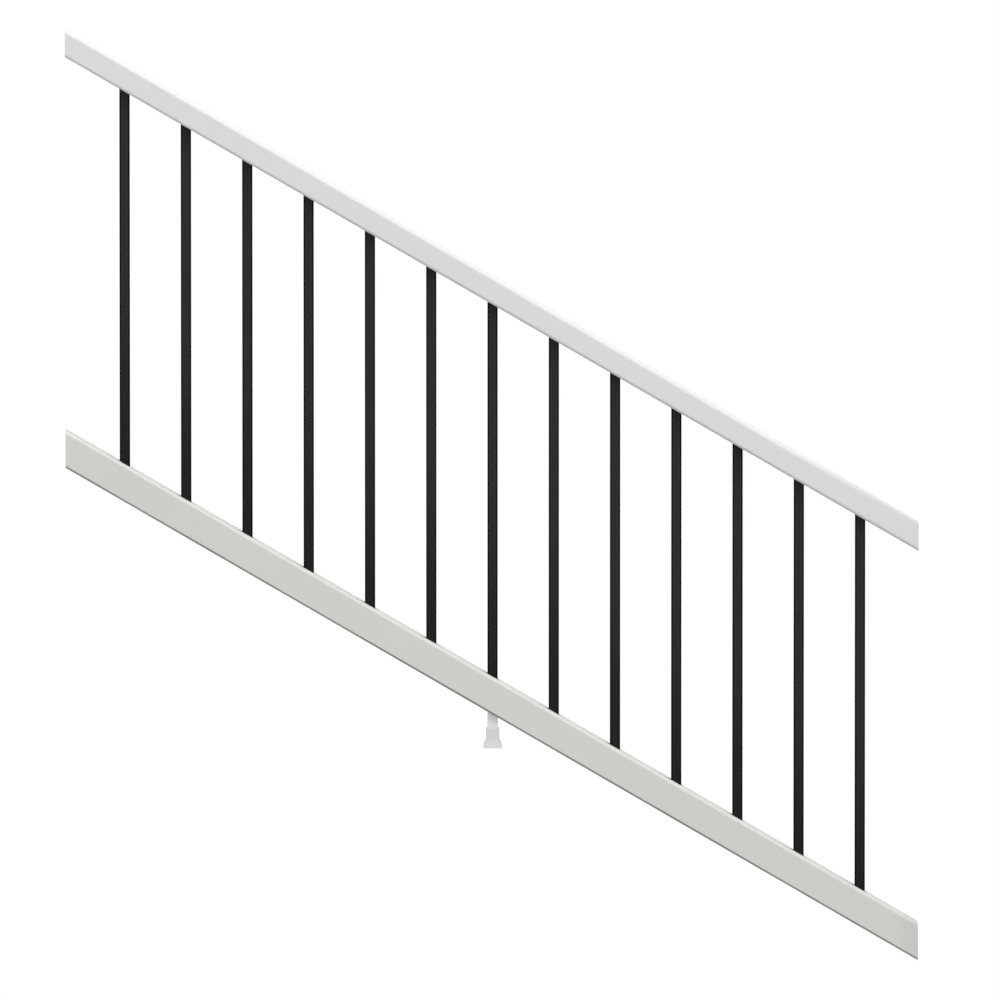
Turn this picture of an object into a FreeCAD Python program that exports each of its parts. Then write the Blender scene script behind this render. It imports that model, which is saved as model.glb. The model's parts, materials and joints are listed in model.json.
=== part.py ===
import FreeCAD, Part
import math
import os
import Sketcher

# Raked deck railing section: two hollow rails, square balusters between them and one support foot.
# X runs level along the section and points down the stair, Y runs through its depth and Z is up.
# The origin is on the low plumb end of the bottom rail, at mid depth on its lower edge.

SIZES = [
    ("rake_angle", 30.1, "fall of both rails, degrees below level"),
    ("rail_length", 1828.8, "length of each rail along the rake"),
    ("rail_gap", 693, "plumb height between the rails"),
    ("top_rail_width", 70, "top rail, front to back"),
    ("top_rail_height", 44.5, "top rail, square to the rake"),
    ("top_rail_wall", 2.8, "wall of the top rail"),
    ("top_crown_radius", 7, "round on the top rail's upper edges"),
    ("top_arris_radius", 6, "round on the top rail's lower edges"),
    ("top_web_rise", 20, "underside of the top rail's inner web above the rail's underside"),
    ("bottom_rail_width", 50, "bottom rail, front to back"),
    ("bottom_rail_height", 60.8, "bottom rail, square to the rake"),
    ("bottom_rail_wall", 2.8, "wall of the bottom rail"),
    ("bottom_crown_radius", 7, "round on the bottom rail's upper edges"),
    ("bottom_bevel_height", 3.6, "bevel on the bottom rail's lower edges, square to the rake"),
    ("bottom_bevel_depth", 5.5, "bevel on the bottom rail's lower edges, front to back"),
    ("bottom_web_rise", 36, "top of the bottom rail's inner web above the rail's underside"),
    ("web_thickness", 2, "inner web of both rails"),
    ("top_low_end_ease", 10, "round on the top corner of the top rail's low end"),
    ("low_end_ease", 15, "round on the top corner of the bottom rail's low end"),
    ("baluster_width", 19, "square baluster, across its flats"),
    ("baluster_wall", 1.4, "wall of a baluster"),
    ("baluster_corner", 1.2, "round on a baluster's corners"),
    ("baluster_pitch", 113.7, "level distance between baluster centres"),
    ("baluster_count", 13, "balusters in the section"),
    ("upper_margin", 109.8, "level room from the high end to the first baluster's centre"),
    ("lower_margin", 108, "level room from the last baluster's centre to the low end"),
    ("baluster_entry", 17, "depth of a baluster in the top rail, square to the rake"),
    ("fit_clearance", 0.3, "room on each side of a piece in its slot, chamber or socket"),
    ("stiffener_wall", 2, "wall of the metal channel in each rail"),
    ("stiffener_setback", 12, "end of a channel behind the rail's end, along the rake"),
    ("foot_baluster", 7, "baluster that the foot stands under, counted from the high end"),
    ("foot_drop", 63.2, "plumb height of the foot under the bottom rail"),
    ("stem_width", 19, "square stem of the foot, across its flats"),
    ("stem_wall", 2, "wall of the stem"),
    ("stem_corner", 1.5, "round on the stem's corners"),
    ("collar_width", 24.5, "collar of the foot's base, across its flats"),
    ("collar_height", 22, "collar above the flare"),
    ("collar_chamfer", 2, "chamfer round the collar's mouth"),
    ("flare_height", 5.6, "flare between the collar and the rim"),
    ("shoulder_width", 31.5, "top of the rim, across its flats"),
    ("rim_width", 34.2, "underside of the rim, across its flats"),
    ("rim_height", 9.8, "rim under the flare"),
    ("base_corner", 2, "round on the upright corners of the base"),
    ("base_floor", 5, "base under the stem"),
]

doc = FreeCAD.newDocument("deck_railing")
sheet = doc.addObject("Spreadsheet::Sheet", "dim")
for row, (alias, value, note) in enumerate(SIZES, start=1):
    sheet.set(f"A{row}", note)
    sheet.set(f"B{row}", str(value))
    sheet.setAlias(f"B{row}", alias)
doc.recompute()

# Places that several pieces share, as expressions on the sheet.
RUN = "(dim.rail_length * cos(dim.rake_angle))"
TOP_RAIL_Z = "(dim.bottom_rail_height / cos(dim.rake_angle) + dim.rail_gap)"
SLOT_WIDTH = "(dim.baluster_width + 2 * dim.fit_clearance)"

# Inside of the bottom rail's bevels, a wall's thickness behind them.
BEVEL_LENGTH = "sqrt(dim.bottom_bevel_height ^ 2 + dim.bottom_bevel_depth ^ 2)"
INNER_BEVEL_DEPTH = (f"(dim.bottom_bevel_depth + dim.bottom_rail_wall"
                     f" * ({BEVEL_LENGTH} - dim.bottom_bevel_depth) / dim.bottom_bevel_height)")
INNER_BEVEL_HEIGHT = (f"(dim.bottom_bevel_height + dim.bottom_rail_wall"
                      f" * ({BEVEL_LENGTH} - dim.bottom_bevel_height) / dim.bottom_bevel_depth)")

# The row of balusters: the two ends share evenly what the rails have over or short of the margins.
ROW_LENGTH = "((dim.baluster_count - 1) * dim.baluster_pitch)"
ROW_START = f"((dim.upper_margin - dim.lower_margin - {RUN} - {ROW_LENGTH}) / 2)"
FOOT_X = f"({ROW_START} + (dim.foot_baluster - 1) * dim.baluster_pitch)"

# Slack for telling edges and volumes apart, in mm and cubic mm.
NEAR = 1e-3

parts = []


def number(text):
    """Number that an expression gives with the sheet as it stands."""
    return float(sheet.evalExpression(text))


def new_body(label, x="0", z="0", tilt="0"):
    """An empty body for one named sub-part, set in the section's frame and tilted about Y."""
    body = doc.addObject("PartDesign::Body", label)
    body.Label = label
    turn = f"rotation(vector(0; 1; 0); {tilt})"
    body.setExpression("Placement", f"placement(vector({x}; 0; {z}); {turn})")
    parts.append(body)
    return body


def datum(body, role):
    """The body's own origin plane or axis of that role."""
    return next(feature for feature in body.Origin.OriginFeatures if feature.Role == role)


def new_sketch(body, name, role, lift="0"):
    """Empty sketch on one of the body's origin planes, lifted along the plane's normal."""
    sketch = body.newObject("Sketcher::SketchObject", f"{body.Label}_{name}")
    sketch.AttachmentSupport = [(datum(body, role), "")]
    sketch.MapMode = "FlatFace"
    sketch.setExpression("AttachmentOffset.Base.z", lift)
    return sketch


def pin_point(sketch, geometry, end, across, up):
    """Tie one end of a line to its place, given by two expressions from the sketch's origin."""
    for kind, text in (("DistanceX", across), ("DistanceY", up)):
        index = sketch.addConstraint(Sketcher.Constraint(kind, -1, 1, geometry, end, number(text)))
        sketch.setExpression(f"Constraints[{index}]", text)


def draw_outline(sketch, corners):
    """Closed outline of straight lines through corners, each a pair of expressions."""
    points = [FreeCAD.Vector(number(across), number(up), 0) for across, up in corners]
    lines = []
    for start, end in zip(points, points[1:] + points[:1]):
        lines.append(sketch.addGeometry(Part.LineSegment(start, end), False))
    for line, following in zip(lines, lines[1:] + lines[:1]):
        sketch.addConstraint(Sketcher.Constraint("Coincident", line, 2, following, 1))
    for line, (across, up) in zip(lines, corners):
        pin_point(sketch, line, 1, across, up)


def rectangle(width, low, high):
    """Corners of a rectangle of that width about the sketch's upright axis."""
    left = f"-({width}) / 2"
    right = f"({width}) / 2"
    return [(left, low), (right, low), (right, high), (left, high)]


def square(width):
    """Corners of a square of that width about the sketch's origin."""
    return rectangle(width, f"-({width}) / 2", f"({width}) / 2")


def extrude(body, kind, name, sketch, length=None, reverse=False, symmetric=False):
    """Pad or pocket of a sketch, through everything where no length is given."""
    before = body.Shape.Volume if body.Tip else 0
    feature = body.newObject(f"PartDesign::{kind}", f"{body.Label}_{name}")
    feature.Profile = sketch
    feature.Reversed = reverse
    feature.SideType = "Symmetric" if symmetric else "One side"
    if length is None:
        feature.Type = "ThroughAll"
    else:
        feature.setExpression("Length", length)
    doc.recompute()
    if abs(body.Shape.Volume - before) < NEAR:
        raise RuntimeError(f"{feature.Name} changed nothing")
    return feature


def ease_edges(body, kind, name, amount, chosen):
    """Fillet or chamfer on those edges of the body so far that chosen accepts."""
    tip = body.Tip
    edges = [f"Edge{i}" for i, edge in enumerate(tip.Shape.Edges, start=1) if chosen(edge)]
    feature = body.newObject(f"PartDesign::{kind}", f"{body.Label}_{name}")
    feature.Base = (tip, edges)
    feature.setExpression("Radius" if kind == "Fillet" else "Size", amount)
    doc.recompute()
    return feature


def draw_rounded_square(sketch, width, corner):
    """Square of that width about the sketch's origin, with rounded corners."""
    half = number(width) / 2
    radius = number(corner)
    inset = half - radius
    quarter = math.pi / 2
    lines = []
    arcs = []
    for turn in range(4):
        spin = FreeCAD.Rotation(FreeCAD.Vector(0, 0, 1), 90 * turn)
        start = spin.multVec(FreeCAD.Vector(-inset, -half, 0))
        end = spin.multVec(FreeCAD.Vector(inset, -half, 0))
        centre = spin.multVec(FreeCAD.Vector(inset, -inset, 0))
        circle = Part.Circle(centre, FreeCAD.Vector(0, 0, 1), radius)
        lines.append(sketch.addGeometry(Part.LineSegment(start, end), False))
        arc = Part.ArcOfCircle(circle, (turn - 1) * quarter, turn * quarter)
        arcs.append(sketch.addGeometry(arc, False))
    for turn in range(4):
        level = "Horizontal" if turn % 2 == 0 else "Vertical"
        sketch.addConstraint(Sketcher.Constraint(level, lines[turn]))
        sketch.addConstraint(Sketcher.Constraint("Tangent", lines[turn], 2, arcs[turn], 1))
        sketch.addConstraint(Sketcher.Constraint("Tangent", arcs[turn], 2, lines[(turn + 1) % 4], 1))
    for arc in arcs[1:]:
        sketch.addConstraint(Sketcher.Constraint("Equal", arcs[0], arc))
    bound = [("Radius", (arcs[0],), corner)]
    sides = [("DistanceY", "-"), ("DistanceX", ""), ("DistanceY", ""), ("DistanceX", "-")]
    for line, (kind, sign) in zip(lines, sides):
        bound.append((kind, (-1, 1, line, 1), f"{sign}({width}) / 2"))
    for kind, ends, text in bound:
        index = sketch.addConstraint(Sketcher.Constraint(kind, *ends, number(text)))
        sketch.setExpression(f"Constraints[{index}]", text)


def plumb_cut(body, name, height, setback="0"):
    """Cut both ends of a raked blank plumb, set back along the rake."""
    spare = f"({height})"
    lean = "tan(dim.rake_angle)"
    low = f"-({setback})"
    high = f"(({setback}) - dim.rail_length)"
    below = f"-{spare}"
    above = f"2 * {spare}"
    low_waste = [
        (f"{low} + {spare} * {lean}", below),
        (f"{low} + {spare} * {lean} + 2 * {spare}", below),
        (f"{low} + {spare} * {lean} + 2 * {spare}", above),
        (f"{low} - 2 * {spare} * {lean}", above),
    ]
    high_waste = [
        (f"{high} + {spare} * {lean}", below),
        (f"{high} - 2 * {spare} * {lean}", above),
        (f"{high} - 2 * {spare} * {lean} - 2 * {spare}", above),
        (f"{high} - 2 * {spare} * {lean} - 2 * {spare}", below),
    ]
    waste = new_sketch(body, f"{name}_waste", "XZ_Plane")
    draw_outline(waste, low_waste)
    draw_outline(waste, high_waste)
    extrude(body, "Pocket", f"{name}_cut", waste, symmetric=True)


def long_edges(rise, across=None):
    """Test for edges that run along the rake at that rise, and at that distance from mid depth."""
    def chosen(edge):
        box = edge.BoundBox
        along = box.XLength > number("dim.rail_length") / 2
        level = abs(box.ZMin - rise) < NEAR and abs(box.ZMax - rise) < NEAR
        beside = across is None or abs(abs(box.YMin) - across) < NEAR
        return along and level and beside
    return chosen


def raked_blank(label, z, width, low, high, over="0"):
    """Bar of that section along the rake, long enough to cut plumb with some over at both ends."""
    body = new_body(label, z=z, tilt="dim.rake_angle")
    section = new_sketch(body, "section", "YZ_Plane", lift=over)
    draw_outline(section, rectangle(width, low, high))
    length = f"dim.rail_length + ({high}) * tan(dim.rake_angle) + 2 * ({over})"
    extrude(body, "Pad", "blank", section, length, reverse=True)
    return body


def baluster_slots(body, low, high):
    """Row of upright square slots through one wall of a rail, from low to high above its underside."""
    near = f"({ROW_START} + {SLOT_WIDTH} / 2) / cos(dim.rake_angle)"
    far = f"({ROW_START} - {SLOT_WIDTH} / 2) / cos(dim.rake_angle)"
    lean = "tan(dim.rake_angle)"
    corners = [
        (f"{far} - ({low}) * {lean}", low),
        (f"{near} - ({low}) * {lean}", low),
        (f"{near} - ({high}) * {lean}", high),
        (f"{far} - ({high}) * {lean}", high),
    ]
    sketch = new_sketch(body, "slot", "XZ_Plane")
    draw_outline(sketch, corners)
    slot = extrude(body, "Pocket", "first_slot", sketch, SLOT_WIDTH, symmetric=True)
    row = body.newObject("PartDesign::LinearPattern", f"{body.Label}_slot_row")
    row.Originals = [slot]
    row.Direction = (datum(body, "X_Axis"), [""])
    row.setExpression("Length", f"{ROW_LENGTH} / cos(dim.rake_angle)")
    row.setExpression("Occurrences", "dim.baluster_count")
    body.Tip = row
    doc.recompute()


def draw_corner_waste(sketch, start, outside, end, radius, centre, first_angle, last_angle):
    """Waste outside a rounded corner: the arc runs anticlockwise from start to end, angles in degrees."""
    points = [FreeCAD.Vector(number(across), number(up), 0) for across, up in (start, outside, end)]
    first = sketch.addGeometry(Part.LineSegment(points[0], points[1]), False)
    second = sketch.addGeometry(Part.LineSegment(points[1], points[2]), False)
    middle = FreeCAD.Vector(number(centre[0]), number(centre[1]), 0)
    circle = Part.Circle(middle, FreeCAD.Vector(0, 0, 1), number(radius))
    sweep = Part.ArcOfCircle(circle, math.radians(first_angle), math.radians(last_angle))
    arc = sketch.addGeometry(sweep, False)
    sketch.addConstraint(Sketcher.Constraint("Coincident", first, 2, second, 1))
    sketch.addConstraint(Sketcher.Constraint("Coincident", second, 2, arc, 2))
    sketch.addConstraint(Sketcher.Constraint("Coincident", arc, 1, first, 1))
    pin_point(sketch, first, 1, *start)
    pin_point(sketch, first, 2, *outside)
    pin_point(sketch, second, 2, *end)
    index = sketch.addConstraint(Sketcher.Constraint("Radius", arc, number(radius)))
    sketch.setExpression(f"Constraints[{index}]", radius)


def ease_low_end(body, height, radius, over):
    """Round the top corner of a rail's low end, seen from the side, with the rail still some over long."""
    corner = f"({over} - ({height}) * tan(dim.rake_angle))"
    reach = f"({radius} * tan((90 - dim.rake_angle) / 2))"
    on_end = (f"{corner} + {reach} * sin(dim.rake_angle)", f"{height} - {reach} * cos(dim.rake_angle)")
    on_top = (f"{corner} - {reach}", height)
    outside = (f"{corner} + {radius}", f"{height} + {radius}")
    centre = (f"{corner} - {reach}", f"{height} - {radius}")
    sketch = new_sketch(body, "ease", "XZ_Plane")
    draw_corner_waste(sketch, on_end, outside, on_top, radius, centre, number("dim.rake_angle"), 90)
    extrude(body, "Pocket", "eased_corner", sketch, symmetric=True)


def round_lower_edges(body, width, radius):
    """Round both lower edges of a rail along its whole length."""
    side = f"({width} / 2)"
    inset = f"({side} - {radius})"
    beyond = f"({side} + {radius})"
    sketch = new_sketch(body, "arris_waste", "YZ_Plane")
    draw_corner_waste(sketch, (inset, "0"), (beyond, f"-{radius}"), (side, radius),
                      radius, (inset, radius), -90, 0)
    draw_corner_waste(sketch, (f"-{side}", radius), (f"-{beyond}", f"-{radius}"), (f"-{inset}", "0"),
                      radius, (f"-{inset}", radius), 180, 270)
    extrude(body, "Pocket", "arris", sketch)


def bevel_lower_edges(body, width, rise, depth):
    """Bevel both lower edges of a rail along its whole length."""
    sketch = new_sketch(body, "bevel_waste", "YZ_Plane")
    for sign in ("", "-"):
        draw_outline(sketch, [
            (f"{sign}({width} / 2 - {depth})", "0"),
            (f"{sign}({width} / 2 + {depth})", f"-{rise}"),
            (f"{sign}({width} / 2)", rise),
        ])
    extrude(body, "Pocket", "bevel", sketch)


def rail_blank(label, z, side, low_end_ease):
    """Solid rail, a wall's thickness too long, whose rounded upper edges run on round its eased low end."""
    height = f"dim.{side}_rail_height"
    over = f"dim.{side}_rail_wall"
    body = raked_blank(label, z, f"dim.{side}_rail_width", "0", height, over)
    plumb_cut(body, "rough", height, f"-{over}")
    ease_low_end(body, height, low_end_ease, over)
    ease_edges(body, "Fillet", "crown", f"dim.{side}_crown_radius", long_edges(number(height)))
    return body


def inside_round(outer, wall):
    """Round on the inside of a wall that follows the round outside it, and never quite vanishes."""
    return f"max({outer} - {wall}; dim.fit_clearance)"


def hollow_out(body, side, chambers):
    """Cut a rail's chambers, round the upper one to match the crown and cut the rail to its length.

    The cut to length comes last and takes off the roundest part of the low end, so the walls end in a flat.
    """
    height = f"dim.{side}_rail_height"
    wall = f"dim.{side}_rail_wall"
    inner = f"(dim.{side}_rail_width - 2 * {wall})"
    sketch = new_sketch(body, "chambers", "YZ_Plane")
    for outline in chambers:
        draw_outline(sketch, outline)
    extrude(body, "Pocket", "hollow", sketch)
    ceiling = long_edges(number(f"{height} - {wall}"), number(inner) / 2)
    ease_edges(body, "Fillet", "inner_crown", inside_round(f"dim.{side}_crown_radius", wall), ceiling)
    plumb_cut(body, "plumb", height)


def stiffener(label, z, width, low, high, mouth_up):
    """Metal channel along a rail's chamber, open upwards or downwards."""
    body = raked_blank(label, z, width, low, high)
    wall = "dim.stiffener_wall"
    floor = f"{low} + {wall}" if mouth_up else f"{low} - {wall}"
    ceiling = f"{high} + {wall}" if mouth_up else f"{high} - {wall}"
    trough = new_sketch(body, "trough", "YZ_Plane")
    draw_outline(trough, rectangle(f"{width} - 2 * {wall}", floor, ceiling))
    extrude(body, "Pocket", "channel", trough)
    plumb_cut(body, "plumb", high, "dim.stiffener_setback")
    return body


def raked_tube(label, x, z, width, wall, corner, length, raked_foot):
    """Upright square tube, its top and where asked its foot cut to the rake, length on its axis."""
    body = new_body(label, x, z)
    fall = f"({width} * tan(dim.rake_angle))"
    start = f"-{fall} / 2" if raked_foot else "0"
    section = new_sketch(body, "section", "XY_Plane", lift=start)
    draw_rounded_square(section, width, corner)
    draw_outline(section, square(f"{width} - 2 * {wall}"))
    extrude(body, "Pad", "tube", section, f"{length} + {fall} / 2 - ({start})")
    waste = new_sketch(body, "rake_waste", "XZ_Plane")
    over = [(f"-{width}", f"{length} + {fall}"), (width, f"{length} - {fall}")]
    over += [(width, f"{length} + 2 * {fall}"), (f"-{width}", f"{length} + 2 * {fall}")]
    draw_outline(waste, over)
    if raked_foot:
        under = [(f"-{width}", fall), (width, f"-{fall}")]
        under += [(width, f"-2 * {fall}"), (f"-{width}", f"-2 * {fall}")]
        draw_outline(waste, under)
    extrude(body, "Pocket", "rake_cut", waste, symmetric=True)
    return body


def taper(body, name, low, low_width, high, high_width):
    """Square taper of the foot's base from one level and width to another."""
    profiles = []
    for end, level, width in (("foot", low, low_width), ("head", high, high_width)):
        profile = new_sketch(body, f"{name}_{end}", "XY_Plane", lift=level)
        draw_rounded_square(profile, width, "dim.base_corner")
        profiles.append(profile)
    loft = body.newObject("PartDesign::AdditiveLoft", f"{body.Label}_{name}")
    loft.Profile = profiles[0]
    loft.Sections = [profiles[1]]
    loft.Ruled = True
    doc.recompute()


def foot_base(label, x, z):
    """Moulded base of the foot: tapered rim, flare and a collar with a socket for the stem."""
    body = new_body(label, x, z)
    shoulder = "dim.rim_height + dim.flare_height"
    taper(body, "rim", "0", "dim.rim_width", "dim.rim_height", "dim.shoulder_width")
    taper(body, "flare", "dim.rim_height", "dim.shoulder_width", shoulder, "dim.collar_width")
    collar = new_sketch(body, "collar", "XY_Plane", lift=shoulder)
    draw_rounded_square(collar, "dim.collar_width", "dim.base_corner")
    extrude(body, "Pad", "collar_block", collar, "dim.collar_height")
    mouth = number(f"{shoulder} + dim.collar_height")
    ease_edges(body, "Chamfer", "mouth", "dim.collar_chamfer",
               lambda edge: abs(edge.BoundBox.ZMin - mouth) < NEAR)
    socket = new_sketch(body, "socket", "XY_Plane", lift="dim.base_floor")
    draw_outline(socket, square("dim.stem_width + 2 * dim.fit_clearance"))
    extrude(body, "Pocket", "stem_socket", socket, reverse=True)
    return body


# Top rail: rounded lower edges, a plain lower chamber and a higher one for the stiffener.
top_inner = "(dim.top_rail_width - 2 * dim.top_rail_wall)"
top_web_top = "(dim.top_web_rise + dim.web_thickness)"
top_ceiling = "(dim.top_rail_height - dim.top_rail_wall)"
top_rail = rail_blank("top_rail", TOP_RAIL_Z, "top", "dim.top_low_end_ease")
round_lower_edges(top_rail, "dim.top_rail_width", "dim.top_arris_radius")
hollow_out(top_rail, "top", [
    rectangle(top_inner, "dim.top_rail_wall", "dim.top_web_rise"),
    rectangle(top_inner, top_web_top, top_ceiling),
])
ease_edges(top_rail, "Fillet", "inner_arris", inside_round("dim.top_arris_radius", "dim.top_rail_wall"),
           long_edges(number("dim.top_rail_wall"), number(top_inner) / 2))
baluster_slots(top_rail, "-dim.top_rail_wall", "2 * dim.top_rail_wall")

# Bottom rail: bevelled lower edges, a lower chamber for the stiffener and a plain one above its web.
bottom_inner = "(dim.bottom_rail_width - 2 * dim.bottom_rail_wall)"
bottom_web_underside = "(dim.bottom_web_rise - dim.web_thickness)"
bottom_ceiling = "(dim.bottom_rail_height - dim.bottom_rail_wall)"
bottom_floor = f"(dim.bottom_rail_width - 2 * {INNER_BEVEL_DEPTH})"
bottom_rail = rail_blank("bottom_rail", "0", "bottom", "dim.low_end_ease")
bevel_lower_edges(bottom_rail, "dim.bottom_rail_width", "dim.bottom_bevel_height", "dim.bottom_bevel_depth")
hollow_out(bottom_rail, "bottom", [
    [
        (f"-{bottom_floor} / 2", "dim.bottom_rail_wall"),
        (f"{bottom_floor} / 2", "dim.bottom_rail_wall"),
        (f"{bottom_inner} / 2", INNER_BEVEL_HEIGHT),
        (f"{bottom_inner} / 2", bottom_web_underside),
        (f"-{bottom_inner} / 2", bottom_web_underside),
        (f"-{bottom_inner} / 2", INNER_BEVEL_HEIGHT),
    ],
    rectangle(bottom_inner, "dim.bottom_web_rise", bottom_ceiling),
])
baluster_slots(bottom_rail, f"{bottom_ceiling} - dim.bottom_rail_wall",
               "dim.bottom_rail_height + dim.bottom_rail_wall")

# Metal channels: the top one lies mouth down on its web, the bottom one mouth up on the rail's floor.
top_channel_width = f"({top_inner} - 2 * dim.fit_clearance)"
top_channel_head = f"({top_ceiling} - dim.fit_clearance)"
top_channel = stiffener("top_rail_stiffener", TOP_RAIL_Z, top_channel_width,
                        top_web_top, top_channel_head, mouth_up=False)
shoulder = inside_round("dim.top_crown_radius", "dim.top_rail_wall")
ease_edges(top_channel, "Fillet", "shoulder", shoulder, long_edges(number(top_channel_head)))
ease_edges(top_channel, "Fillet", "inner_shoulder", inside_round(shoulder, "dim.stiffener_wall"),
           long_edges(number(f"{top_channel_head} - dim.stiffener_wall"),
                      number(f"{top_channel_width} / 2 - dim.stiffener_wall")))
stiffener("bottom_rail_stiffener", "0", f"({bottom_floor} - 2 * dim.fit_clearance)",
          "dim.bottom_rail_wall", f"({bottom_web_underside} - dim.fit_clearance)", mouth_up=True)

# Balusters stand on the bottom rail's web and end inside the top rail.
reach = f"({TOP_RAIL_Z} + (dim.baluster_entry - dim.bottom_web_rise) / cos(dim.rake_angle))"
for k in range(int(number("dim.baluster_count"))):
    x = f"({ROW_START} + {k} * dim.baluster_pitch)"
    seat = f"(dim.bottom_web_rise / cos(dim.rake_angle) - {x} * tan(dim.rake_angle))"
    raked_tube(f"baluster_{k + 1:02d}", x, seat, "dim.baluster_width", "dim.baluster_wall",
               "dim.baluster_corner", reach, raked_foot=True)

# Foot: the stem stands in the base's socket and meets the underside of the bottom rail.
foot_z = f"(-{FOOT_X} * tan(dim.rake_angle) - dim.foot_drop)"
raked_tube("foot_stem", FOOT_X, f"({foot_z} + dim.base_floor)", "dim.stem_width", "dim.stem_wall",
           "dim.stem_corner", "(dim.foot_drop - dim.base_floor)", raked_foot=False)
foot_base("foot_base", FOOT_X, foot_z)

doc.recompute()
for obj in doc.Objects:
    if "Invalid" in obj.State or "Error" in obj.State:
        raise RuntimeError(f"{obj.Label} failed: {obj.State}")
for part in parts:
    if part.Shape.isNull() or not part.Shape.isValid() or len(part.Shape.Solids) != 1:
        raise RuntimeError(f"{part.Label} is not one sound solid")
os.makedirs("parts", exist_ok=True)
for part in parts:
    part.Shape.exportStep(f"parts/{part.Label}.step")
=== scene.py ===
import json
import math
from typing import NamedTuple

import bpy
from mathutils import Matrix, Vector


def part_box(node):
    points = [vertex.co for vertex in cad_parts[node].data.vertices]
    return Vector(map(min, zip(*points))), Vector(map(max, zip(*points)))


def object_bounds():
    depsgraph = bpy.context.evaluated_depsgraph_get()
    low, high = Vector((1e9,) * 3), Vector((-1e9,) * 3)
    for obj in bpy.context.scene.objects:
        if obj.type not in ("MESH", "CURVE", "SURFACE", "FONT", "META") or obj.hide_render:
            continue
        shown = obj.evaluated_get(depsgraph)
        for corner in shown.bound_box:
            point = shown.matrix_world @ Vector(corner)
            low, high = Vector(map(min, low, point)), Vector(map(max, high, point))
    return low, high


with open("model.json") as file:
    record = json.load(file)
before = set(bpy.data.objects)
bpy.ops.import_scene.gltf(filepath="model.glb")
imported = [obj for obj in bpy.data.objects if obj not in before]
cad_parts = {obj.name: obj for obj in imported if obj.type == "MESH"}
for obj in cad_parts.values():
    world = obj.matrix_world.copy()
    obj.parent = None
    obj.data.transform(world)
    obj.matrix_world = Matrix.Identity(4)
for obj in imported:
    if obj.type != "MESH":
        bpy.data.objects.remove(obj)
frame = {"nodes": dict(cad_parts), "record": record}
cad_low, cad_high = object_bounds()
section_middle = (cad_low + cad_high) / 2

# Lengths are in metres and lamps in watts. A tone is a share of a colour, and a level a share of full white.

# Camera: a long lens square to the section and a little above it, aimed a little off the section's middle.
VIEW_ELEVATION = math.radians(4.2)
VIEW_DISTANCE = 40.0
SENSOR_WIDTH_MM = 36.0
METRES_ACROSS = 1.8561
AIM_OFF_MIDDLE = Vector((0.0147, 0.0, -0.0099))

# Studio: a floor well under the section, an even sky, a narrow strip lamp straight over the rails and a
# softbox in front of them and above. The floor is shown white but for the share that takes a shadow.
FLOOR_DROP = 0.45
FLOOR_HALF = 120.0
FLOOR_SEEN = 0.9
FLOOR_BOUNCE = 0.35
SHADOW_SHARE = 0.3
SHADOW_REACH = (2.0, 4.5)
SKY_LEVEL = 0.99
STRIP_HEIGHT = 2.5
STRIP_WIDTH = 0.12
STRIP_POWER = 5.0
SOFTBOX_ELEVATION = math.radians(50.0)
SOFTBOX_DISTANCE = 12.0
SOFTBOX_SIDE = 6.0
SOFTBOX_POWER = 290.0
WHITE = (1.0, 1.0, 1.0)

# Rake of the rails and the plumb heights the balusters stand between, from the record's places on the rails.
mounts = {mount["name"]: Vector(mount["pos_m"]) for mount in frame["record"]["mounts"]}
climb = mounts["top_rail_high_end"] - mounts["top_rail_low_end"]
RUN = -climb.x
RAKE = math.atan2(climb.z, RUN)
BALUSTER_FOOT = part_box("bottom_rail")[1].z - climb.z
BALUSTER_HEAD = mounts["top_rail_low_end"].z

# Row of balusters: centre of the first, half its width, the distance to the next, and how far the row is
# taken to reach from the rails' middle.
first_low, first_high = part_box("baluster_01")
FIRST_BALUSTER = (first_low.x + first_high.x) / 2
BALUSTER_HALF = (first_high.x - first_low.x) / 2
BALUSTER_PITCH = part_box("baluster_02")[0].x - first_low.x
ROW_HALF = (RUN - BALUSTER_PITCH) / 2


class Grain(NamedTuple):
    """A noise: features a metre on each axis, octaves, and the levels where its marks begin and are full."""

    scales: tuple
    octaves: float
    marks: tuple = None


# Grains of the rails: skin and mottle are even, saw teeth cross the plumb ends, the rest runs along the rake.
DIE_LINES = Grain((1.5, 420.0, 420.0), 3.0)
VINYL_SKIN = Grain((1400.0, 1400.0, 1400.0), 2.0)
VINYL_MOTTLE = Grain((3.2, 3.2, 3.2), 4.0)
VINYL_SCUFFS = Grain((16.0, 750.0, 750.0), 1.0, (0.62, 0.74))
SHADE_AND_GRIME_PATCHES = Grain((9.0, 60.0, 60.0), 3.0, (0.25, 0.7))
SAW_TEETH = Grain((1.0, 90.0, 1600.0), 2.0)
METAL_STREAKS = Grain((2.0, 900.0, 900.0), 4.0)

# Grains of the balusters and the foot, and the specks of dirt on white pieces.
COAT_PEBBLE = Grain((700.0, 700.0, 700.0), 2.0)
COAT_DRIFT = Grain((9.0, 9.0, 5.0), 3.0)
COAT_SCUFFS = Grain((560.0, 560.0, 14.0), 1.0, (0.64, 0.76))
COAT_SPECKS = Grain((520.0, 520.0, 520.0), 1.0, (0.68, 0.78))
FOOT_GRAIN = Grain((1100.0, 1100.0, 1100.0), 3.0)
FOOT_MOTTLE = Grain((30.0, 30.0, 30.0), 3.0)
WHITE_SPECKS = Grain((640.0, 640.0, 640.0), 1.0, (0.68, 0.76))

# Depth that a bump of full strength stands for, in every finish.
BUMP_DEPTH = 0.0002


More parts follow.
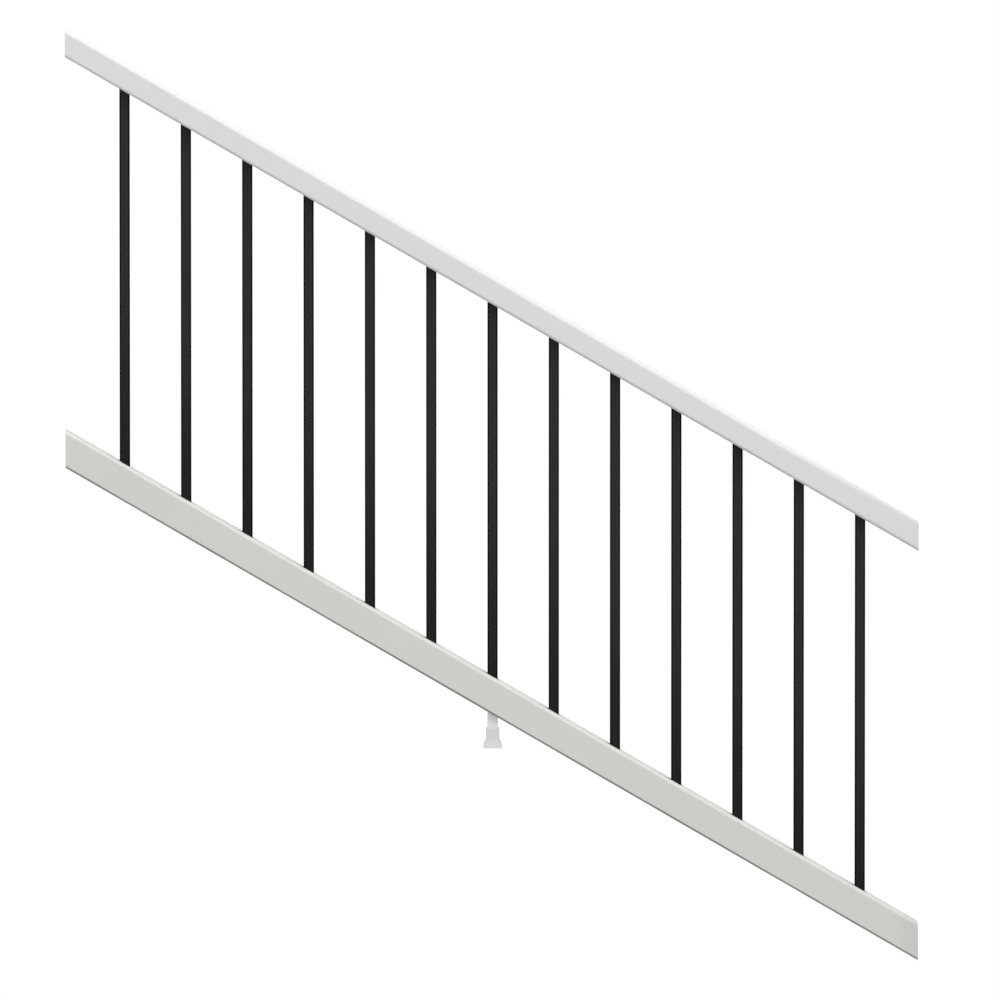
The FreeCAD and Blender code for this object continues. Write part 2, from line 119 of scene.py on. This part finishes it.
class Link:
    """A node's output in a finish. Arithmetic on links adds Math nodes."""

    def __init__(self, finish, socket):
        self.finish = finish
        self.socket = socket

    def _math(self, operation, *values):
        return self.finish.node("ShaderNodeMath", {"operation": operation}, dict(enumerate(values)))

    def __add__(self, other):
        return self._math("ADD", self, other)

    def __radd__(self, other):
        return self._math("ADD", other, self)

    def __sub__(self, other):
        return self._math("SUBTRACT", self, other)

    def __rsub__(self, other):
        return self._math("SUBTRACT", other, self)

    def __mul__(self, other):
        return self._math("MULTIPLY", self, other)

    def __rmul__(self, other):
        return self._math("MULTIPLY", other, self)

    def __abs__(self):
        return self._math("ABSOLUTE", self)

    def least(self, other):
        """The smaller of two values."""
        return self._math("MINIMUM", self, other)

    def most(self, other):
        """The larger of two values."""
        return self._math("MAXIMUM", self, other)

    def off_nearest(self, spacing):
        """Distance from the nearest multiple of a spacing."""
        return self._math("PINGPONG", self, spacing / 2)


class Finish:
    """A material or world tree that nodes are added to."""

    def __init__(self, tree):
        self.tree = tree
        self.tree.nodes.clear()

    def node(self, kind, settings=None, inputs=None, output=0):
        """Add a node: its settings first, then the values or links of its sockets."""
        made = self.tree.nodes.new(kind)
        for name, setting in (settings or {}).items():
            setattr(made, name, setting)
        for name, value in (inputs or {}).items():
            if isinstance(value, Link):
                self.tree.links.new(value.socket, made.inputs[name])
            else:
                made.inputs[name].default_value = value
        return Link(self, made.outputs[output]) if made.outputs else None


def new_finish(name):
    """An empty surface material and the tree to fill."""
    material = bpy.data.materials.new(name)
    material.use_nodes = True
    return material, Finish(material.node_tree)


def close_finish(tree, relief, strength, inputs):
    """Close a finish: its shader, bumped by a relief, on the material's surface."""
    bump = tree.node("ShaderNodeBump", None, {"Strength": strength, "Distance": BUMP_DEPTH, "Height": relief})
    shader = tree.node("ShaderNodeBsdfPrincipled", None, {**inputs, "Normal": bump})
    tree.node("ShaderNodeOutputMaterial", None, {"Surface": shader})


def between(mask, off, on):
    """Off where a mask is 0, on where it is 1."""
    return off + mask * (on - off)


def rise(tree, value, start, end):
    """Smooth step from 0 at start to 1 at end."""
    return tree.node("ShaderNodeMapRange", {"interpolation_type": "SMOOTHSTEP"},
                     {"Value": value, "From Min": start, "From Max": end})


def blend(tree, share, first, second):
    """Mix of two colours, each a link or a triple."""
    colours = [colour if isinstance(colour, Link) else (*colour, 1.0) for colour in (first, second)]
    return tree.node("ShaderNodeMix", {"data_type": "RGBA"},
                     {"Factor": share, "A": colours[0], "B": colours[1]}, output="Result")


def shade(tree, colour, tone):
    """Colour of a link made lighter or darker."""
    return tree.node("ShaderNodeVectorMath", {"operation": "SCALE"}, {0: colour, "Scale": tone})


def shaded(colour, tone):
    """Colour triple made lighter or darker."""
    return tuple(min(1.0, channel * tone) for channel in colour)


def own_place(tree):
    """Place on the object, in the frame that the whole section shares."""
    return tree.node("ShaderNodeTexCoord", output="Object")


def own_facing(tree):
    """Direction that the surface faces, in the same frame."""
    return tree.node("ShaderNodeTexCoord", output="Normal")


def axis(tree, vector, letter):
    """One axis of a place or a direction."""
    return tree.node("ShaderNodeSeparateXYZ", None, {"Vector": vector}, output=letter)


def along_rake(tree, vector):
    """Place or direction turned so that its first axis runs along the rails."""
    return tree.node("ShaderNodeVectorRotate", {"rotation_type": "Y_AXIS"},
                     {"Vector": vector, "Angle": -RAKE})


def noise(tree, place, grain):
    """A grain's noise, or only its marks where it has levels for them."""
    spread = tree.node("ShaderNodeVectorMath", {"operation": "MULTIPLY"}, {0: place, 1: grain.scales})
    field = tree.node("ShaderNodeTexNoise", None, {"Vector": spread, "Scale": 1.0, "Detail": grain.octaves})
    return rise(tree, field, *grain.marks) if grain.marks else field


def off_baluster(tree, place):
    """Level distance from the middle of the nearest place in the row of balusters."""
    return (axis(tree, place, "X") - FIRST_BALUSTER).off_nearest(BALUSTER_PITCH)


# Rail vinyl: heights from a rail's top or underside, square to the rake, level places from its low end, and
# how far grime and painted contact shade reach from a slot.
CROWN_BAND = (-0.0068, -0.0042)
FLAT_BAND = (-0.0012, -0.0003)
UNDERSIDE_BAND = (0.0003, 0.0012)
LOW_END = (-0.050, -0.012)
LOWER_RUN = (-0.30, -0.03)
GRIME_AND_SHADE_REACH = 0.008

# Rail vinyl: how far a surface faces along the level run, or up from the rake, where its marks begin and end.
SAWN_FACING = (0.96, 0.985)
UNDERSIDE_FACING = (-0.98, -0.9)
INNER_FLOOR_FACING = (0.3, 0.6)

# Rail vinyl: shares of its height that the painted shade on the lower edges fades between, even shares of
# what is otherwise patchy, tones of the marks, among them grime mixed with painted contact shade, and parts
# of the relief.
EDGE_SHADE_FADE = (0.7, 1.1)
EDGE_SHADE_EVEN = 0.55
GRIME_AND_SHADE_EVEN = 0.4
SAWN_EVEN = 0.5
MARKS_LEFT_ON_FLAT = 0.2
MOTTLE_TONES = (0.975, 1.025)
SAWN_TONE = 0.93
GRIME_AND_SHADE_TONE = 0.84
SCUFF_TONE = 0.97
SPECK_TONE = 0.88
LINE_RELIEF = 0.7
SKIN_RELIEF = 0.3
TEETH_RELIEF = 2.0
VINYL_BUMP = 0.16
VINYL_SPECULAR = 0.4

# Rail vinyl: roughness of the clean skin and what each kind of mark adds to it.
VINYL_ROUGHNESS = 0.36
LINES_ROUGHEN = 0.12
SAWING_ROUGHENS = 0.3
EDGE_SHADE_ROUGHENS = 0.1
SCUFFS_ROUGHEN = 0.15
GRIME_ROUGHENS = 0.2


class RailLook(NamedTuple):
    """What sets one rail's vinyl apart.

    Its tones are painted light and shade: painted shade on the lower edges, a painted highlight on the
    rounded upper edges, painted shade on the flat between them, and the painted shade that its face and its
    upper edges fade to toward the low end. Its slots are in its top, above, or else in its underside.
    """

    colour: tuple
    edge_shade_height: float
    edge_shade_tone: float
    crown_highlight_tone: float
    flat_shade_tone: float
    low_end_shade_tone: float
    low_crown_shade_tone: float
    slots_above: bool


# Tones below 1 are painted shade and tones above 1 a painted highlight.
TOP_RAIL_LOOK = RailLook(colour=(0.825, 0.825, 0.81), edge_shade_height=0.005, edge_shade_tone=0.97, crown_highlight_tone=1.0,
                         flat_shade_tone=1.0, low_end_shade_tone=1.0, low_crown_shade_tone=0.82, slots_above=False)
BOTTOM_RAIL_LOOK = RailLook(colour=(0.735, 0.75, 0.71), edge_shade_height=0.0044, edge_shade_tone=0.42, crown_highlight_tone=1.10,
                            flat_shade_tone=0.92, low_end_shade_tone=0.93, low_crown_shade_tone=0.92, slots_above=True)


def beside_slots(tree, place):
    """1 along the edges of the slots that the balusters stand in, fading to 0 a little way off."""
    off_slot = off_baluster(tree, place).most(abs(axis(tree, place, "Y")))
    off_row_middle = abs(axis(tree, place, "X") + RUN / 2)
    in_row = 1.0 - rise(tree, off_row_middle, ROW_HALF, ROW_HALF + GRIME_AND_SHADE_REACH)
    return in_row * (1.0 - rise(tree, off_slot, BALUSTER_HALF, BALUSTER_HALF + GRIME_AND_SHADE_REACH))


def rail_vinyl(name, rail, look):
    """Satin white extruded vinyl: die lines along the rake, painted shade and highlight on its edges, scuffs,
    specks and sawn ends.
    """
    material, tree = new_finish(name)
    place = own_place(tree)
    along = along_rake(tree, place)
    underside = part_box(rail)[0].z * math.cos(RAKE)
    top = (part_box(rail)[1].z - climb.z) * math.cos(RAKE)
    square_height = axis(tree, along, "Z")
    over_underside = square_height - underside
    crown = rise(tree, square_height - top, *CROWN_BAND)
    flat = rise(tree, square_height - top, *FLAT_BAND)
    level = axis(tree, place, "X")
    low_end = rise(tree, level, *LOW_END)
    lower_run = rise(tree, level, *LOWER_RUN)
    sawn = rise(tree, abs(axis(tree, own_facing(tree), "X")), *SAWN_FACING)

    lines = noise(tree, along, DIE_LINES)
    teeth = noise(tree, place, SAW_TEETH)
    shade_and_grime_patches = noise(tree, along, SHADE_AND_GRIME_PATCHES)
    upward = axis(tree, along_rake(tree, own_facing(tree)), "Z")
    on_edge = rise(tree, upward, *UNDERSIDE_FACING) * (1.0 - rise(tree, upward, *INNER_FLOOR_FACING))
    # Painted shade: the lower edges are darkened as shade would darken them, patchy, fading out up the rail.
    lower_edge_shade = on_edge * (1.0 - rise(tree, over_underside, *(look.edge_shade_height * share for share in EDGE_SHADE_FADE)))
    slotted = flat if look.slots_above else 1.0 - rise(tree, over_underside, *UNDERSIDE_BAND)
    # Grime mixed with painted contact shade: patchy darkening beside the slots where the balusters meet the
    # rail.
    grime_and_contact_shade = slotted * beside_slots(tree, place) * between(shade_and_grime_patches, GRIME_AND_SHADE_EVEN, 1.0)
    washed = between(flat, 1.0, MARKS_LEFT_ON_FLAT)
    scuffs = washed * noise(tree, along, VINYL_SCUFFS)
    specks = washed * noise(tree, place, WHITE_SPECKS)

    mottle = noise(tree, along, VINYL_MOTTLE)
    tint = blend(tree, mottle, *(shaded(look.colour, tone) for tone in MOTTLE_TONES))
    # The painted shade on the lower edges goes into the colour here.
    tint = blend(tree, lower_edge_shade * between(shade_and_grime_patches, EDGE_SHADE_EVEN, 1.0), tint, shaded(look.colour, look.edge_shade_tone))
    # Painted highlight on the rounded upper edges; painted shade on the flat, on the face at the low end and
    # on the upper edges along the lower run.
    tone = between(crown, 1.0, look.crown_highlight_tone) + flat * (look.flat_shade_tone - look.crown_highlight_tone)
    tone = tone * between(low_end, 1.0, look.low_end_shade_tone)
    tone = tone * between(crown * lower_run, 1.0, look.low_crown_shade_tone)
    for mark, mark_tone in ((grime_and_contact_shade, GRIME_AND_SHADE_TONE), (scuffs, SCUFF_TONE), (specks, SPECK_TONE)):
        tone = tone * between(mark, 1.0, mark_tone)
    tint = shade(tree, tint, tone)
    tint = blend(tree, sawn * between(teeth, SAWN_EVEN, 1.0), tint, shaded(look.colour, SAWN_TONE))

    drawn = lines * LINE_RELIEF + noise(tree, place, VINYL_SKIN) * SKIN_RELIEF
    relief = (1.0 - sawn) * (1.0 - flat) * drawn + sawn * teeth * TEETH_RELIEF
    roughness = VINYL_ROUGHNESS + lines * LINES_ROUGHEN + sawn * SAWING_ROUGHENS + lower_edge_shade * EDGE_SHADE_ROUGHENS
    roughness = roughness + scuffs * SCUFFS_ROUGHEN + grime_and_contact_shade * GRIME_ROUGHENS
    close_finish(tree, relief, VINYL_BUMP,
                 {"Base Color": tint, "Roughness": roughness, "Specular IOR Level": VINYL_SPECULAR})
    return material


# Powder coat: colours, the first two painted shade low down and painted light higher up, then the rise over
# which the painted light comes in above the foot and the drop under the top rail where painted shade darkens
# it, and the bands in from an arris.
COAT_SHADED_COLOUR = (0.0075, 0.0075, 0.0077)
COAT_LIT_COLOUR = (0.0205, 0.0205, 0.0218)
ARRIS_SHADE_COLOUR = (0.001, 0.001, 0.001)
COAT_WORN = (0.05, 0.05, 0.052)
PAINTED_LIGHT_RISE = 0.36
HEAD_SHADE_DROP = 0.10
ARRIS_BAND = (0.0042, 0.0016)

# Powder coat: tones, how far scuffs and specks wear it, and its roughness with what each kind of mark adds.
HEAD_SHADE_TONE = 0.75
DRIFT_TONES = (0.8, 1.2)
ARRIS_HIGHLIGHT_TONES = (0.9, 1.2)
SCUFFS_WEAR = 0.3
SPECKS_WEAR = 0.5
COAT_ROUGHNESS = 0.42
PEBBLE_ROUGHENS = 0.12
COAT_SCUFFS_ROUGHEN = 0.15
ARRIS_ROUGHENS = 0.4
COAT_BUMP = 0.35
COAT_SPECULAR = 0.15


def black_powder_coat(name):
    """Black powder coat: a pebbled skin, with painted light and shade along its height, beside its arrises
    and on them.
    """
    material, tree = new_finish(name)
    place = own_place(tree)
    over_low_end = axis(tree, place, "Z") + axis(tree, place, "X") * math.tan(RAKE)
    # Painted light and shade: the coat goes paler up from the foot and darker again just under the top rail,
    # with a random drift.
    lit_up_from_foot = rise(tree, over_low_end, BALUSTER_FOOT, BALUSTER_FOOT + PAINTED_LIGHT_RISE)
    head_shade = rise(tree, over_low_end, BALUSTER_HEAD - HEAD_SHADE_DROP, BALUSTER_HEAD)
    drift = between(noise(tree, place, COAT_DRIFT), *DRIFT_TONES)
    painted_light_with_drift = lit_up_from_foot * between(head_shade, 1.0, HEAD_SHADE_TONE) * drift

    off_middle = off_baluster(tree, place).least(abs(axis(tree, place, "Y")))
    band_start, band_end = (BALUSTER_HALF - inward for inward in ARRIS_BAND)
    arris = rise(tree, off_middle, band_start, band_end)
    # Painted highlight: each face is paler toward its arrises and darker across its middle.
    highlight_toward_arris = rise(tree, off_middle, 0.0, band_start)
    pebble = noise(tree, place, COAT_PEBBLE)
    scuffs = noise(tree, place, COAT_SCUFFS)
    specks = noise(tree, place, COAT_SPECKS)

    tint = shade(tree, blend(tree, painted_light_with_drift, COAT_SHADED_COLOUR, COAT_LIT_COLOUR), between(highlight_toward_arris, *ARRIS_HIGHLIGHT_TONES))
    # Painted shade: the arrises are painted near black.
    tint = blend(tree, arris, tint, ARRIS_SHADE_COLOUR)
    tint = blend(tree, (1.0 - arris) * (scuffs * SCUFFS_WEAR + specks * SPECKS_WEAR), tint, COAT_WORN)
    roughness = COAT_ROUGHNESS + pebble * PEBBLE_ROUGHENS
    roughness = roughness + scuffs * COAT_SCUFFS_ROUGHEN + arris * ARRIS_ROUGHENS
    close_finish(tree, pebble * (1.0 - arris), COAT_BUMP,
                 {"Base Color": tint, "Roughness": roughness, "Specular IOR Level": COAT_SPECULAR})
    return material


# Bare metal of the stiffening channels: colours and roughness in and beside its streaks.
METAL_DULL = (0.58, 0.59, 0.60)
METAL_BRIGHT = (0.76, 0.77, 0.78)
METAL_ROUGHNESS = (0.32, 0.52)
METAL_BUMP = 0.2


def mill_metal(name):
    """Bare extruded aluminium of the stiffening channels, streaked along the rake."""
    material, tree = new_finish(name)
    streaks = noise(tree, along_rake(tree, own_place(tree)), METAL_STREAKS)
    close_finish(tree, streaks, METAL_BUMP,
                 {"Base Color": blend(tree, streaks, METAL_DULL, METAL_BRIGHT), "Metallic": 1.0,
                  "Roughness": between(streaks, *METAL_ROUGHNESS)})
    return material


# Moulded plastic of the foot: darkest and palest colour of its base and of its stem, the stem's painted paler
# as painted light, then its dust mixed with painted shade, its specks and its skin.
BASE_COLOURS = ((0.76, 0.76, 0.755), (0.81, 0.81, 0.805))
LIT_STEM_COLOURS = ((0.88, 0.88, 0.875), (0.93, 0.93, 0.925))
DUST_AND_SHADE_COLOUR = (0.67, 0.67, 0.665)
SPECK_COLOUR = (0.5, 0.49, 0.46)
SPECK_SHARE = 0.25
DUST_AND_SHADE_FACING = (0.2, 0.6)
EDGE_SOFTNESS = 0.001
FOOT_ROUGHNESS = (0.42, 0.57)
FOOT_BUMP = 0.15


def moulded_white(name):
    """Moulded white plastic of the foot: a fine even grain, painted paler on the stem, dust and painted shade
    on the flare.
    """
    material, tree = new_finish(name)
    place = own_place(tree)
    base_low, base_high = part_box("foot_base")
    base_middle = (base_low.z + base_high.z) / 2
    height = axis(tree, place, "Z")
    stem, upper = (rise(tree, height, edge - EDGE_SOFTNESS, edge + EDGE_SOFTNESS)
                   for edge in (base_high.z, base_middle))
    # Dust mixed with painted shade: the up-facing flare of the base is darkened.
    dust_and_shade = rise(tree, axis(tree, own_facing(tree), "Z"), *DUST_AND_SHADE_FACING) * (1.0 - upper)
    grain = noise(tree, place, FOOT_GRAIN)
    mottle = noise(tree, place, FOOT_MOTTLE)

    # Painted light: the stem is painted paler than the base, as if lit more.
    tint = blend(tree, stem, blend(tree, mottle, *BASE_COLOURS), blend(tree, mottle, *LIT_STEM_COLOURS))
    tint = blend(tree, dust_and_shade, tint, DUST_AND_SHADE_COLOUR)
    tint = blend(tree, noise(tree, place, WHITE_SPECKS) * SPECK_SHARE, tint, SPECK_COLOUR)
    close_finish(tree, grain, FOOT_BUMP, {"Base Color": tint, "Roughness": between(grain, *FOOT_ROUGHNESS)})
    return material


def dress(node_name, material):
    """Give a solid of the frame its finish."""
    for slot in frame["nodes"][node_name].material_slots:
        slot.link = "OBJECT"
        slot.material = material


FINISHES = {
    "top_rail_vinyl": rail_vinyl("top_rail_vinyl", "top_rail", TOP_RAIL_LOOK),
    "bottom_rail_vinyl": rail_vinyl("bottom_rail_vinyl", "bottom_rail", BOTTOM_RAIL_LOOK),
    "baluster_black": black_powder_coat("baluster_black"),
    "stiffener_metal": mill_metal("stiffener_metal"),
    "foot_plastic": moulded_white("foot_plastic"),
}
for entry in frame["record"]["subparts"]:
    dress(entry["node"], FINISHES[entry["material_slot"]])


def put(name, data):
    """New object in the scene."""
    made = bpy.data.objects.new(name, data)
    bpy.context.scene.collection.objects.link(made)
    return made


def aim(obj, target):
    """Turn a lamp or camera to look at a point."""
    obj.rotation_euler = (target - obj.location).to_track_quat("-Z", "Y").to_euler()


def in_front(target, elevation, distance):
    """Point in front of a target and above it."""
    return target + Vector((0.0, -math.cos(elevation), math.sin(elevation))) * distance


def seen_white(tree):
    """1 where the camera, a reflection or a view through glass meets the surface, else 0."""
    camera, glossy, through = (tree.node("ShaderNodeLightPath", output=ray)
                               for ray in ("Is Camera Ray", "Is Glossy Ray", "Is Transmission Ray"))
    return camera.most(glossy).most(through)


def make_floor():
    """Plain pale floor, shown white, that keeps the section's soft shadow."""
    z = cad_low.z - FLOOR_DROP
    corners = [(-FLOOR_HALF, -FLOOR_HALF, z), (FLOOR_HALF, -FLOOR_HALF, z),
               (FLOOR_HALF, FLOOR_HALF, z), (-FLOOR_HALF, FLOOR_HALF, z)]
    mesh = bpy.data.meshes.new("studio_floor")
    mesh.from_pydata(corners, [], [(0, 1, 2, 3)])
    floor = put("studio_floor", mesh)
    material, tree = new_finish("studio_floor")
    seen = seen_white(tree)
    under_section = (section_middle.x, section_middle.y, z)
    away = tree.node("ShaderNodeVectorMath", {"operation": "DISTANCE"},
                     {0: own_place(tree), 1: under_section}, output="Value")
    glowing = seen * between(rise(tree, away, *SHADOW_REACH), 1.0 - SHADOW_SHARE, 1.0)
    tone = blend(tree, seen, shaded(WHITE, FLOOR_BOUNCE), shaded(WHITE, FLOOR_SEEN))
    matt = tree.node("ShaderNodeBsdfDiffuse", None, {"Color": tone})
    glow = tree.node("ShaderNodeEmission", None, {"Color": (*WHITE, 1.0), "Strength": 1.0})
    shown = tree.node("ShaderNodeMixShader", None, {"Fac": glowing, 1: matt, 2: glow})
    tree.node("ShaderNodeOutputMaterial", None, {"Surface": shown})
    mesh.materials.append(material)


def make_sky():
    """Even sky: white where it is seen, a soft fill where it lights."""
    world = bpy.data.worlds.new("studio_sky")
    world.use_nodes = True
    bpy.context.scene.world = world
    tree = Finish(world.node_tree)
    level = between(seen_white(tree), SKY_LEVEL, 1.0)
    glow = tree.node("ShaderNodeBackground", None, {"Color": (*WHITE, 1.0), "Strength": level})
    tree.node("ShaderNodeOutputWorld", None, {"Surface": glow})


def make_strip_lamp():
    """Narrow lamp as long as the rails, straight over the middle of the top one and turned along its rake."""
    data = bpy.data.lights.new("overhead_strip", "AREA")
    data.shape = "RECTANGLE"
    data.size = climb.length
    data.size_y = STRIP_WIDTH
    data.energy = STRIP_POWER
    lamp = put("overhead_strip", data)
    lamp.location = mounts["top_rail_low_end"] + climb / 2 + Vector((0.0, 0.0, STRIP_HEIGHT))
    lamp.rotation_euler = (0.0, RAKE, 0.0)


def make_softbox():
    """Square softbox in front of the section and above it, turned to its middle."""
    data = bpy.data.lights.new("front_softbox", "AREA")
    data.shape = "SQUARE"
    data.size = SOFTBOX_SIDE
    data.energy = SOFTBOX_POWER
    lamp = put("front_softbox", data)
    lamp.location = in_front(section_middle, SOFTBOX_ELEVATION, SOFTBOX_DISTANCE)
    aim(lamp, section_middle)


def make_camera():
    """Long-lens camera at the photograph's angle."""
    data = bpy.data.cameras.new("view")
    data.sensor_width = SENSOR_WIDTH_MM
    data.lens = SENSOR_WIDTH_MM * VIEW_DISTANCE / METRES_ACROSS
    data.clip_end = VIEW_DISTANCE + FLOOR_HALF
    camera = put("view", data)
    target = section_middle + AIM_OFF_MIDDLE
    camera.location = in_front(target, VIEW_ELEVATION, VIEW_DISTANCE)
    aim(camera, target)
    bpy.context.scene.camera = camera


make_floor()
make_sky()
make_strip_lamp()
make_softbox()
make_camera()
bpy.context.scene.view_settings.view_transform = "Standard"
